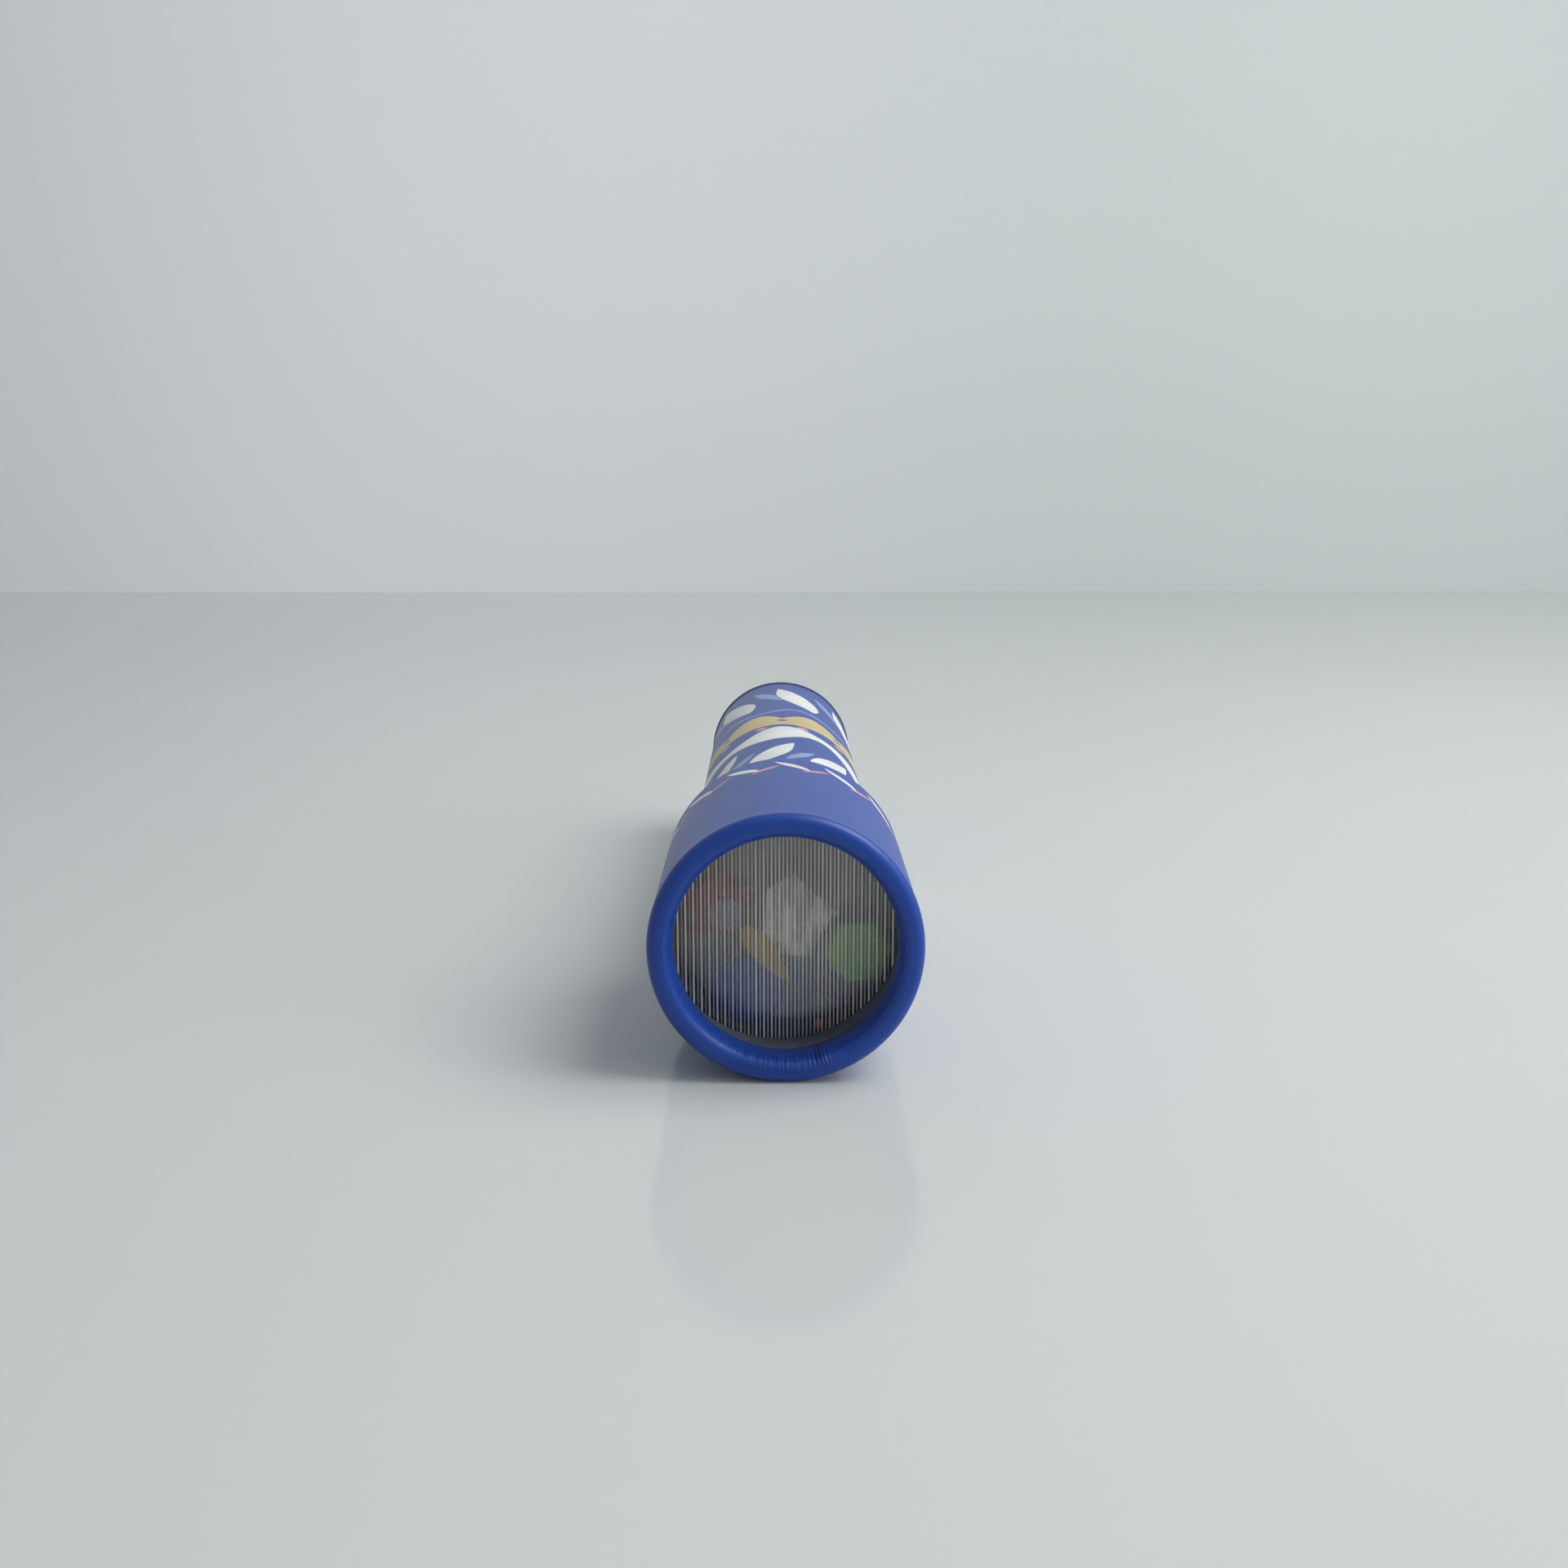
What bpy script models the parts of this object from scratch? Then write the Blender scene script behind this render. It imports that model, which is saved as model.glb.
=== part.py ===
"""A kaleidoscope lying on its side: a long tube that holds mirrors, and a wider barrel that turns on it.

The barrel carries a ribbed window and a cell of loose coloured chips. Run with:

    blender --background --python part.py

Lengths are in metres and +Z is up. The tube's axis lies along Y, the window end faces -Y, and the origin is
under the middle of the whole length, on the surface that the barrel's bead rests on.
"""

import math

import bmesh
import bpy
from mathutils import Matrix, Vector

# Clearances
GLUE_GAP = 0.0003
RUN_GAP = 0.00035
END_PLAY = 0.0004
CHIP_GAP = 0.00035

# Long tube
EXPOSED_TUBE_LENGTH = 0.1571
TUBE_RADIUS = 0.02115
TUBE_WALL = 0.0016
WRAP_THICKNESS = 0.0003
TUBE_WINDOW_THICKNESS = 0.001
TUBE_WINDOW_RECESS = 0.0005
STOP_RING_LENGTH = 0.0045

# Turning barrel
BARREL_LENGTH = 0.0571
BARREL_WALL = 0.0015
BEAD_STAND = 0.0001
LIP_WIDTH = 0.0047
LIP_LAND_WIDTH = 0.0006
ROLL_OUTER_DEPTH = 0.0019
ROLL_INNER_DEPTH = 0.003
HEM_DEPTH = 0.0065
SHOULDER_LENGTH = 0.0016
REAR_EDGE_ROUND = 0.0004
SLEEVE_WALL = 0.0024
SLEEVE_RECESS = 0.001
SLEEVE_CHAMFER = 0.0006

# Ribbed window and object cell
WINDOW_DEPTH = 0.0135
WINDOW_THICKNESS = 0.0011
RIB_CREST_WIDTH = 0.00045
RIB_FLANK_WIDTH = 0.0003
RIB_VALLEY_WIDTH = 0.00045
RIB_HEIGHT = 0.0004
CELL_RING_WALL = 0.0015
BACK_WINDOW_THICKNESS = 0.001
BACK_RING_LENGTH = 0.0012
CHIP_THICKNESS = 0.0008
CRYSTAL_THICKNESS = 0.0014
CHIP_EDGE = 0.0001
CRYSTAL_EDGE = 0.0004
ORANGE_BEAD_RADIUS = 0.001
CLEAR_BEAD_RADIUS = 0.0008
# Room left behind the loose pieces
TUMBLE_DEPTH = 0.00235

# Mirrors and what holds them
MIRROR_COUNT = 3
MIRROR_THICKNESS = 0.002
MIRROR_EDGE_GAP = 0.0003
PRISM_MARGIN = 0.0015
PRISM_END_GAP = 0.0004
SUPPORT_LENGTH = 0.006
SUPPORT_INSET = 0.0005
SUPPORT_CORNER = 0.0006
BAND_WIDTH = 0.012
BAND_THICKNESS = 0.0004
BAND_INSET = 0.03

# Eyepiece
EYE_DISC_THICKNESS = 0.0015
EYE_DISC_STAND = 0.0002
EYE_DISC_CHAMFER = 0.0003
PEEPHOLE_RADIUS = 0.0055
PEEPHOLE_CHAMFER = 0.0007
LENS_RADIUS = 0.0095
LENS_THICKNESS = 0.0018
LENS_EDGE_THICKNESS = 0.0009

# How finely round shapes are divided
WELD = 0.000001
OUTER_STEPS = 72
INNER_STEPS = 48
ROLL_STEPS = 6
LENS_STEPS = 4
STAR_STEPS = 30
DROP_STEPS = 24
ROUND_CHIP_STEPS = 24
BEAD_SPHERE_STEPS = 2
SUPPORT_STEP = math.radians(8)
SHARP_ANGLE = math.radians(35)

# Radii, from the tube outwards
card_radius = TUBE_RADIUS - WRAP_THICKNESS - GLUE_GAP
tube_bore = card_radius - TUBE_WALL
sleeve_bore = TUBE_RADIUS + RUN_GAP
sleeve_radius = sleeve_bore + SLEEVE_WALL
barrel_bore = sleeve_radius + GLUE_GAP
barrel_radius = barrel_bore + BARREL_WALL
bead_radius = barrel_radius + BEAD_STAND
axis_height = bead_radius * math.cos(math.pi / OUTER_STEPS)
roll_centre = bead_radius - LIP_WIDTH / 2
opening_radius = bead_radius - LIP_WIDTH
hem_radius = opening_radius + BARREL_WALL
cell_ring_radius = barrel_bore - GLUE_GAP
cell_radius = cell_ring_radius - CELL_RING_WALL
rib_field_radius = cell_radius - GLUE_GAP
rib_pitch = RIB_CREST_WIDTH + 2 * RIB_FLANK_WIDTH + RIB_VALLEY_WIDTH
stop_ring_bore = card_radius + GLUE_GAP
stop_ring_radius = barrel_bore - RUN_GAP
tube_disc_radius = tube_bore - GLUE_GAP
eye_disc_radius = TUBE_RADIUS + EYE_DISC_STAND
chip_reach = cell_radius - CHIP_GAP

# The chips, from the window backwards. A centre is across and up. It and the size are shares of chip_reach.
CHIP_SHARES = {
    "chip_yellow_drop": ((-0.15, -0.25), 0.35),
    "chip_clear_crystal": ((0.07, 0.06), 0.42),
    "chip_blue_round": ((-0.32, -0.60), 0.31),
    "chip_green_hexagon": ((0.65, -0.27), 0.30),
    "chip_violet_triangle": ((0.46, -0.60), 0.24),
    "chip_lilac_round": ((-0.52, 0.05), 0.15),
    "chip_red_star": ((-0.60, 0.12), 0.37),
}
BEAD_PLACE_SHARES = {"bead_orange": (0.30, -0.88), "bead_clear": (-0.57, -0.75)}
CRYSTAL_OUTLINE_SHARES = (1.0, 0.72, 0.94, 0.66, 0.88, 0.78, 1.0, 0.60, 0.84)
STAR_SWING_SHARE = 0.2
STAR_POINT_COUNT = 5
DROP_WIDTH_SHARE = 0.40
DROP_TURN = math.radians(50)
HEXAGON_CORNER_COUNT = 6
HEXAGON_TURN = math.radians(52)
TRIANGLE_CORNER_COUNT = 3
TRIANGLE_TURN = math.radians(52)

# Stations along the axis, back from the front of the bead
window_ring_start = HEM_DEPTH + GLUE_GAP
window_ring_end = WINDOW_DEPTH - GLUE_GAP
cell_start = WINDOW_DEPTH + WINDOW_THICKNESS
chip_layers = CRYSTAL_THICKNESS + (len(CHIP_SHARES) - 1) * CHIP_THICKNESS
# A gap in front of each chip, and one on either side of the clear bead
chip_gaps = (len(CHIP_SHARES) + 2) * CHIP_GAP
cell_end = cell_start + chip_layers + 2 * CLEAR_BEAD_RADIUS + chip_gaps + TUMBLE_DEPTH
back_ring_start = cell_end + BACK_WINDOW_THICKNESS + GLUE_GAP
tube_start = back_ring_start + BACK_RING_LENGTH + END_PLAY
stop_ring_end = tube_start + STOP_RING_LENGTH
sleeve_start = stop_ring_end + END_PLAY
sleeve_end = BARREL_LENGTH - SLEEVE_RECESS
total_length = BARREL_LENGTH + EXPOSED_TUBE_LENGTH
eye_disc_start = total_length - EYE_DISC_THICKNESS
tube_end = eye_disc_start - GLUE_GAP
tube_window_start = tube_start + TUBE_WINDOW_RECESS
prism_start = tube_window_start + TUBE_WINDOW_THICKNESS + PRISM_END_GAP
lens_start = tube_end - LENS_THICKNESS
prism_end = lens_start - PRISM_END_GAP


def prism_sizes():
    """The mirrors' half width, and how far their inner faces lie from the axis."""
    corner_radius = tube_bore - PRISM_MARGIN
    offset = MIRROR_EDGE_GAP / math.sqrt(3) + MIRROR_THICKNESS
    # (half / sqrt(3) + offset)^2 + half^2 = corner_radius^2, solved for the half width
    a = 4 / 3
    b = 2 * offset / math.sqrt(3)
    c = offset**2 - corner_radius**2
    half = (math.sqrt(b**2 - 4 * a * c) - b) / (2 * a)
    return half, (half + MIRROR_EDGE_GAP) / math.sqrt(3)


mirror_half, mirror_distance = prism_sizes()


def clear_scene():
    for obj in list(bpy.data.objects):
        bpy.data.objects.remove(obj, do_unlink=True)


def material(name, colour, roughness, metallic=0.0, transmission=0.0):
    made = bpy.data.materials.new(name)
    made.use_nodes = True
    shader = made.node_tree.nodes["Principled BSDF"]
    shader.inputs["Base Color"].default_value = (*colour, 1)
    shader.inputs["Roughness"].default_value = roughness
    shader.inputs["Metallic"].default_value = metallic
    shader.inputs["Transmission Weight"].default_value = transmission
    made.diffuse_color = (*colour, 1)
    return made


def axis_empty(name, parent=None):
    """An empty at the front of the bead, whose Z runs back along the tube's axis and whose Y points down."""
    empty = bpy.data.objects.new(name, None)
    bpy.context.scene.collection.objects.link(empty)
    if parent:
        empty.parent = parent
        return empty
    empty.location = (0, -total_length / 2, axis_height)
    empty.rotation_euler = (-math.pi / 2, 0, 0)
    return empty


def node(name, bm, parent, station, surface):
    """Makes an object of a finished bmesh, with its origin on the axis at this station."""
    bmesh.ops.remove_doubles(bm, verts=bm.verts, dist=WELD)
    bmesh.ops.recalc_face_normals(bm, faces=bm.faces)
    mesh = bpy.data.meshes.new(name)
    bm.to_mesh(mesh)
    bm.free()
    mesh.shade_smooth()
    mesh.set_sharp_from_angle(angle=SHARP_ANGLE)
    mesh.materials.append(surface)
    obj = bpy.data.objects.new(name, mesh)
    obj.parent = parent
    obj.location = (0, 0, station)
    bpy.context.scene.collection.objects.link(obj)
    return obj


def quarter(centre, across, depth, start, end):
    """A quarter of an ellipse in a turned profile, whose centre has this radius and lies its own depth back.

    90 degrees points outwards, 180 forwards and 270 inwards.
    """
    angles = [math.radians(start + (end - start) * i / ROLL_STEPS) for i in range(ROLL_STEPS + 1)]
    return [(centre + across * math.sin(a), depth + depth * math.cos(a)) for a in angles]


def turned(profile, steps, closed=True):
    """A profile of (radius, distance along) points, spun round the axis. An open one has both ends on it.

    It starts half a step round, so that the object lies on a flat facet and not on an edge.
    """
    bm = bmesh.new()
    half = math.pi / steps
    across, down = math.cos(half), math.sin(half)
    corners = [bm.verts.new((radius * across, radius * down, along)) for radius, along in profile]
    edges = [bm.edges.new(pair) for pair in zip(corners, corners[1:])]
    if closed:
        edges.append(bm.edges.new((corners[-1], corners[0])))
    bmesh.ops.spin(
        bm,
        geom=corners + edges,
        cent=(0, 0, 0),
        axis=(0, 0, 1),
        dvec=(0, 0, 0),
        angle=math.tau,
        steps=steps,
        use_merge=True,
    )
    return bm


def ring(inner, outer, length, steps=INNER_STEPS):
    """A plain ring from 0 to length."""
    return turned([(outer, length), (outer, 0), (inner, 0), (inner, length)], steps)


def disc(radius, length, steps=INNER_STEPS):
    bm = bmesh.new()
    bmesh.ops.create_cone(
        bm, cap_ends=True, segments=steps, radius1=radius, radius2=radius, depth=length
    )
    bmesh.ops.translate(bm, verts=bm.verts, vec=(0, 0, length / 2))
    return bm


def neighbours(items):
    """Each item of a closed loop, with the one before it and the one after it."""
    return zip(items[-1:] + items[:-1], items, items[1:] + items[:1])


def extruded(outline, length):
    """A closed outline of (across, down) points, from 0 to length along the axis."""
    bm = bmesh.new()
    face = bm.faces.new([bm.verts.new((x, y, 0)) for x, y in outline])
    grown = bmesh.ops.extrude_face_region(bm, geom=[face])
    moved = [item for item in grown["geom"] if isinstance(item, bmesh.types.BMVert)]
    bmesh.ops.translate(bm, verts=moved, vec=(0, 0, length))
    return bm


def frame_of(outer, inner, length):
    """A closed outline with a hole, both of as many points, from 0 to length along the axis."""
    bm = bmesh.new()
    loops = []
    for outline, along in ((outer, 0), (outer, length), (inner, length), (inner, 0)):
        loops.append([bm.verts.new((x, y, along)) for x, y in outline])
    for _, near, far in neighbours(loops):
        for i in range(len(near)):
            j = (i + 1) % len(near)
            bm.faces.new((near[i], near[j], far[j], far[i]))
    return bm


def prism_outline(clearance):
    """The six outer corners of the mirrors' bundle, with each side moved out by the clearance."""
    corners = []
    for turn in range(MIRROR_COUNT):
        angle = turn * math.tau / MIRROR_COUNT
        for side in (-1, 1):
            back_corner = Vector((side * mirror_half, mirror_distance + MIRROR_THICKNESS))
            corners.append(rotated(back_corner, angle))
    ordered = sorted(corners, key=lambda corner: math.atan2(corner.y, corner.x))
    moved = []
    for before, corner, after in neighbours(ordered):
        first = outward(before, corner)
        second = outward(corner, after)
        # The corner of two sides that have both moved out by the same distance
        moved.append(corner + (first + second) * clearance / (1 + first.dot(second)))
    return moved


def outward(start, end):
    along = (end - start).normalized()
    return Vector((along.y, -along.x))


def rotated(point, angle):
    c, s = math.cos(angle), math.sin(angle)
    return Vector((point.x * c - point.y * s, point.x * s + point.y * c))


def rounded(corners, cut):
    """Each corner replaced by two points, this far along its sides."""
    points = []
    for before, corner, after in neighbours(corners):
        points.append(corner + (before - corner).normalized() * cut)
        points.append(corner + (after - corner).normalized() * cut)
    return points


def barrel_tube(parent, surface):
    """One card tube. Its front edge is rolled into a bead and runs back inside as a hem, open behind."""
    half_land = LIP_LAND_WIDTH / 2
    across = LIP_WIDTH / 2 - half_land
    profile = [(barrel_radius - REAR_EDGE_ROUND, BARREL_LENGTH)]
    profile += [(barrel_radius, BARREL_LENGTH - REAR_EDGE_ROUND)]
    profile += [(barrel_radius, ROLL_OUTER_DEPTH + SHOULDER_LENGTH)]
    profile += quarter(roll_centre + half_land, across, ROLL_OUTER_DEPTH, 90, 180)
    profile += quarter(roll_centre - half_land, across, ROLL_INNER_DEPTH, 180, 270)
    profile += [(opening_radius, HEM_DEPTH), (hem_radius, HEM_DEPTH)]
    # The hollow inside the roll, and the bore behind it
    profile += [(hem_radius, ROLL_INNER_DEPTH), (roll_centre, BARREL_WALL), (barrel_bore, ROLL_OUTER_DEPTH)]
    profile += [(barrel_bore, BARREL_LENGTH)]
    return node("barrel_tube", turned(profile, OUTER_STEPS), parent, 0, surface)


def rib_profile():
    """The ribs' cross section, as (across, along) points: flat crests and valleys, and sloping flanks."""
    count = math.ceil(2 * rib_field_radius / rib_pitch) + 1
    half_crest = RIB_CREST_WIDTH / 2
    half_root = half_crest + RIB_FLANK_WIDTH
    rib = [(-half_root, 0), (-half_crest, -RIB_HEIGHT), (half_crest, -RIB_HEIGHT), (half_root, 0)]
    points = []
    for i in range(count):
        middle = (i - (count - 1) / 2) * rib_pitch
        points += [(middle + across, along) for across, along in rib]
    return points


def ribbed_window(parent, surface):
    """A clear disc with upright ribs on its front, and a flat rim round them for the rings that hold it."""
    crests = rib_profile()
    back = WINDOW_THICKNESS / 2
    section = crests + [(crests[-1][0], back), (crests[0][0], back)]
    ribs = bmesh.new()
    ends = []
    for height in (-cell_ring_radius, cell_ring_radius):
        ends.append([ribs.verts.new((x, height, along)) for x, along in section])
    for i in range(len(section)):
        j = (i + 1) % len(section)
        ribs.faces.new((ends[0][i], ends[0][j], ends[1][j], ends[1][i]))
    ribs.faces.new(ends[0])
    ribs.faces.new(list(reversed(ends[1])))
    field = node("rib_field", ribs, parent, WINDOW_DEPTH, surface)
    trim = node("rib_trim", disc(rib_field_radius, cell_start, OUTER_STEPS), parent, 0, surface)
    trim.data.transform(rim_turn())
    plate = node(
        "ribbed_window", disc(cell_ring_radius, WINDOW_THICKNESS, OUTER_STEPS), parent, WINDOW_DEPTH, surface
    )
    for helper in (field, trim):
        helper.hide_render = True
        helper.display_type = "WIRE"
    boolean(field, trim, "INTERSECT")
    boolean(plate, field, "UNION")
    return plate


def rim_turn():
    """Half a facet's turn, so that no corner of the trimming cylinder lies on a corner of the plate."""
    return Matrix.Rotation(math.pi / OUTER_STEPS, 4, "Z")


def boolean(obj, other, operation):
    modifier = obj.modifiers.new(operation.lower(), "BOOLEAN")
    modifier.operation = operation
    modifier.solver = "EXACT"
    modifier.object = other


def star_outline(size):
    """Five soft points."""
    points = []
    for i in range(STAR_STEPS):
        angle = math.tau * i / STAR_STEPS
        radius = size * (1 - STAR_SWING_SHARE + STAR_SWING_SHARE * math.cos(STAR_POINT_COUNT * angle))
        points.append((radius * math.sin(angle), -radius * math.cos(angle)))
    return points


def drop_outline(size):
    """A drop whose tip points down to the right, with its round end up to the left."""
    points = []
    for i in range(DROP_STEPS):
        angle = math.tau * i / DROP_STEPS
        along = size * math.cos(angle)
        across = size * DROP_WIDTH_SHARE * math.sin(angle) * math.sin(angle / 2)
        points.append(rotated(Vector((along, across)), DROP_TURN))
    return points


def regular_outline(size, corners, turn=0.0):
    angles = [math.tau * i / corners + turn for i in range(corners)]
    return [(size * math.cos(angle), size * math.sin(angle)) for angle in angles]


def crystal_outline(size):
    count = len(CRYSTAL_OUTLINE_SHARES)
    angles = [math.tau * i / count for i in range(count)]
    return [
        (size * share * math.sin(angle), -size * share * math.cos(angle))
        for share, angle in zip(CRYSTAL_OUTLINE_SHARES, angles)
    ]


def chip(name, outline, thickness, edge, parent, station, surface):
    """A flat chip on its own axis empty, away from the axis that it turns about."""
    (across, up), _ = CHIP_SHARES[name]
    bm = extruded(outline, thickness)
    rims = [item for item in bm.edges if abs(item.verts[0].co.z - item.verts[1].co.z) < WELD]
    bmesh.ops.bevel(bm, geom=rims, offset=edge, segments=1, affect="EDGES", clamp_overlap=True)
    bmesh.ops.translate(bm, verts=bm.verts, vec=(across * chip_reach, -up * chip_reach, 0))
    return node(name, bm, parent, station, surface)


def round_bead(name, radius, parent, station, surface):
    across, up = BEAD_PLACE_SHARES[name]
    bm = bmesh.new()
    bmesh.ops.create_icosphere(bm, subdivisions=BEAD_SPHERE_STEPS, radius=radius)
    bmesh.ops.translate(bm, verts=bm.verts, vec=(across * chip_reach, -up * chip_reach, radius))
    return node(name, bm, parent, station, surface)


def chips(parent, colours):
    """The loose pieces, each in a layer of its own, so that all of them can turn past each other.

    The orange bead runs round outside the first two, which keep to the middle.
    """
    outlines = {
        "chip_lilac_round": lambda size: regular_outline(size, ROUND_CHIP_STEPS),
        "chip_yellow_drop": drop_outline,
        "chip_red_star": star_outline,
        "chip_clear_crystal": crystal_outline,
        "chip_green_hexagon": lambda size: regular_outline(size, HEXAGON_CORNER_COUNT, HEXAGON_TURN),
        "chip_blue_round": lambda size: regular_outline(size, ROUND_CHIP_STEPS),
        "chip_violet_triangle": lambda size: regular_outline(size, TRIANGLE_CORNER_COUNT, TRIANGLE_TURN),
    }
    station = cell_start + CHIP_GAP
    round_bead("bead_orange", ORANGE_BEAD_RADIUS, parent, station, colours["bead_orange"])
    for name, (_, share) in CHIP_SHARES.items():
        crystal = name == "chip_clear_crystal"
        thickness = CRYSTAL_THICKNESS if crystal else CHIP_THICKNESS
        edge = CRYSTAL_EDGE if crystal else CHIP_EDGE
        outline = outlines[name](share * chip_reach)
        chip(name, outline, thickness, edge, parent, station, colours[name])
        station += thickness + CHIP_GAP
    round_bead("bead_clear", CLEAR_BEAD_RADIUS, parent, station, colours["bead_clear"])


def bearing_sleeve(parent, surface):
    """The long card sleeve inside the barrel, which runs on the tube. Its bore is eased at both ends."""
    length = sleeve_end - sleeve_start
    profile = [(sleeve_radius, length), (sleeve_radius, 0), (sleeve_bore + SLEEVE_CHAMFER, 0)]
    profile += [(sleeve_bore, SLEEVE_CHAMFER), (sleeve_bore, length - SLEEVE_CHAMFER)]
    profile += [(sleeve_bore + SLEEVE_CHAMFER, length)]
    return node("bearing_sleeve", turned(profile, OUTER_STEPS), parent, sleeve_start, surface)


def mirror(name, turn, parent, surface):
    """One strip of mirror, its silvered face towards the axis."""
    angle = turn * math.tau / MIRROR_COUNT
    near, far = mirror_distance, mirror_distance + MIRROR_THICKNESS
    corners = [(-mirror_half, near), (mirror_half, near), (mirror_half, far), (-mirror_half, far)]
    outline = [rotated(Vector(corner), angle) for corner in corners]
    return node(name, extruded(outline, prism_end - prism_start), parent, prism_start, surface)


def mirror_support(name, station, parent, surface):
    """A foam ring that fills the tube's bore round the mirrors."""
    corners = rounded(prism_outline(GLUE_GAP), SUPPORT_CORNER)
    inner, outer = [], []
    for _, near, far in neighbours(corners):
        start = math.atan2(near.y, near.x)
        sweep = (math.atan2(far.y, far.x) - start) % math.tau
        pieces = max(1, round(sweep / SUPPORT_STEP))
        for i in range(pieces):
            angle = start + sweep * i / pieces
            inner.append(near.lerp(far, i / pieces))
            outer.append(Vector((math.cos(angle), math.sin(angle))) * tube_disc_radius)
    return node(name, frame_of(outer, inner, SUPPORT_LENGTH), parent, station, surface)


def tape_band(name, station, parent, surface):
    """A band of tape round the three mirrors."""
    inner = rounded(prism_outline(GLUE_GAP), SUPPORT_CORNER)
    outer = rounded(prism_outline(GLUE_GAP + BAND_THICKNESS), SUPPORT_CORNER)
    return node(name, frame_of(outer, inner, BAND_WIDTH), parent, station, surface)


def eye_lens(parent, surface):
    """A lens with two curved faces, inside its holder."""
    sag = (LENS_THICKNESS - LENS_EDGE_THICKNESS) / 2
    front, back = [], []
    for i in range(LENS_STEPS + 1):
        radius = LENS_RADIUS * i / LENS_STEPS
        drop = sag * (radius / LENS_RADIUS) ** 2
        front.append((radius, drop))
        back.append((radius, LENS_THICKNESS - drop))
    lens = turned(back + front[::-1], INNER_STEPS, closed=False)
    return node("eye_lens", lens, parent, lens_start, surface)


def eyepiece_disc(parent, surface):
    """The card disc that closes the eye end, with a peephole to look through."""
    outer, hole = eye_disc_radius, PEEPHOLE_RADIUS
    profile = [(outer - EYE_DISC_CHAMFER, EYE_DISC_THICKNESS)]
    profile += [(outer, EYE_DISC_THICKNESS - EYE_DISC_CHAMFER), (outer, 0), (hole, 0)]
    profile += [(hole, EYE_DISC_THICKNESS - PEEPHOLE_CHAMFER), (hole + PEEPHOLE_CHAMFER, EYE_DISC_THICKNESS)]
    return node("eyepiece_disc", turned(profile, OUTER_STEPS), parent, eye_disc_start, surface)


def materials():
    return {
        "blue_card": material("blue_card", (0.03, 0.075, 0.36), 0.5),
        "grey_board": material("grey_board", (0.20, 0.20, 0.18), 0.85),
        "print": material("print", (0.08, 0.16, 0.42), 0.45),
        "kraft": material("kraft", (0.42, 0.30, 0.18), 0.85),
        "clear": material("clear", (0.86, 0.90, 0.88), 0.08, transmission=0.9),
        "mirror": material("mirror", (0.82, 0.85, 0.86), 0.03, metallic=1.0),
        "foam": material("foam", (0.02, 0.02, 0.022), 0.9),
        "tape": material("tape", (0.70, 0.66, 0.52), 0.5),
        "red": material("red", (0.55, 0.03, 0.04), 0.2, transmission=0.6),
        "lilac": material("lilac", (0.50, 0.38, 0.62), 0.2, transmission=0.6),
        "yellow": material("yellow", (0.72, 0.48, 0.06), 0.2, transmission=0.6),
        "green": material("green", (0.12, 0.42, 0.08), 0.2, transmission=0.6),
        "blue": material("blue", (0.02, 0.05, 0.30), 0.2, transmission=0.6),
        "violet": material("violet", (0.10, 0.05, 0.25), 0.2, transmission=0.6),
        "orange": material("orange", (0.80, 0.22, 0.03), 0.2, transmission=0.6),
    }


def build_barrel(axis, surfaces):
    """Everything that turns with the barrel."""
    clear, board = surfaces["clear"], surfaces["grey_board"]
    barrel_tube(axis, surfaces["blue_card"])
    window_ring = ring(cell_radius, cell_ring_radius, window_ring_end - window_ring_start, OUTER_STEPS)
    node("window_ring", window_ring, axis, window_ring_start, board)
    ribbed_window(axis, clear)
    spacer_start = cell_start + GLUE_GAP
    spacer = ring(cell_radius, cell_ring_radius, cell_end - GLUE_GAP - spacer_start)
    node("cell_spacer", spacer, axis, spacer_start, board)
    node("cell_back_window", disc(cell_ring_radius, BACK_WINDOW_THICKNESS), axis, cell_end, clear)
    back_ring = ring(cell_radius, cell_ring_radius, BACK_RING_LENGTH)
    node("cell_back_ring", back_ring, axis, back_ring_start, board)
    bearing_sleeve(axis, surfaces["kraft"])


def build_tube(axis, surfaces):
    """Everything that stays with the long tube."""
    tube = ring(tube_bore, card_radius, tube_end - tube_start, OUTER_STEPS)
    node("body_tube", tube, axis, tube_start, surfaces["kraft"])
    wrap_start = stop_ring_end + GLUE_GAP
    wrap = ring(card_radius + GLUE_GAP, TUBE_RADIUS, tube_end - wrap_start, OUTER_STEPS)
    node("body_wrap", wrap, axis, wrap_start, surfaces["print"])
    stop = ring(stop_ring_bore, stop_ring_radius, STOP_RING_LENGTH)
    node("stop_ring", stop, axis, tube_start, surfaces["grey_board"])
    window = disc(tube_disc_radius, TUBE_WINDOW_THICKNESS)
    node("tube_window", window, axis, tube_window_start, surfaces["clear"])
    for turn, name in enumerate(("mirror_bottom", "mirror_left", "mirror_right")):
        mirror(name, turn, axis, surfaces["mirror"])
    front_support = prism_start + SUPPORT_INSET
    rear_support = prism_end - SUPPORT_INSET - SUPPORT_LENGTH
    mirror_support("mirror_support_front", front_support, axis, surfaces["foam"])
    mirror_support("mirror_support_rear", rear_support, axis, surfaces["foam"])
    tape_band("tape_band_front", prism_start + BAND_INSET, axis, surfaces["tape"])
    tape_band("tape_band_rear", prism_end - BAND_INSET - BAND_WIDTH, axis, surfaces["tape"])
    holder = ring(LENS_RADIUS + GLUE_GAP, tube_disc_radius, LENS_THICKNESS)
    node("lens_holder", holder, axis, lens_start, surfaces["grey_board"])
    eye_lens(axis, surfaces["clear"])
    eyepiece_disc(axis, surfaces["blue_card"])


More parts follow.
